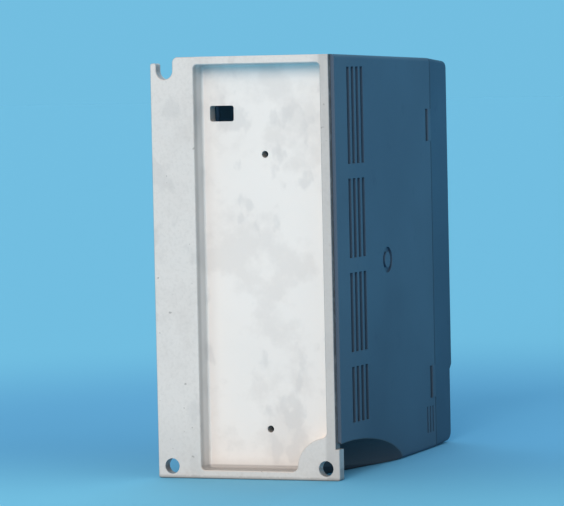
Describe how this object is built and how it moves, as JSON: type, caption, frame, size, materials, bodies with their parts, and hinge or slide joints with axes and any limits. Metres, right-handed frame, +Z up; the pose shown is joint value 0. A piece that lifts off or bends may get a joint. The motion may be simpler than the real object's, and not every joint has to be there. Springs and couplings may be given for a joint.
{
  "type": "die cast housing",
  "caption": "Upright drive housing: a die-cast mounting base with a recessed back, a hollow vented slate-blue case over it and a clip-on front cover.",
  "frame": {"origin": "centre of the bounding box in X and Y, on the lower edge of the mounting plate in Z", "axes": "+Z up along the mounting plate, +Y from the mounting face towards the front cover, +X to the right of the mounting face as seen from behind"},
  "size_m": [0.0742, 0.1294, 0.16],
  "materials": {
    "cast_aluminium": "as-cast, matt with faint mottling",
    "case_plastic": "slate blue, fine moulded texture",
    "cover_plastic": "slate blue, fine moulded texture",
    "screw_steel": "zinc plated"
  },
  "bodies": {
    "root": {"base_casting": "cast_aluminium", "case_shell": "case_plastic", "front_cover": "cover_plastic", "case_screws": "screw_steel"}
  },
  "joints": []
}
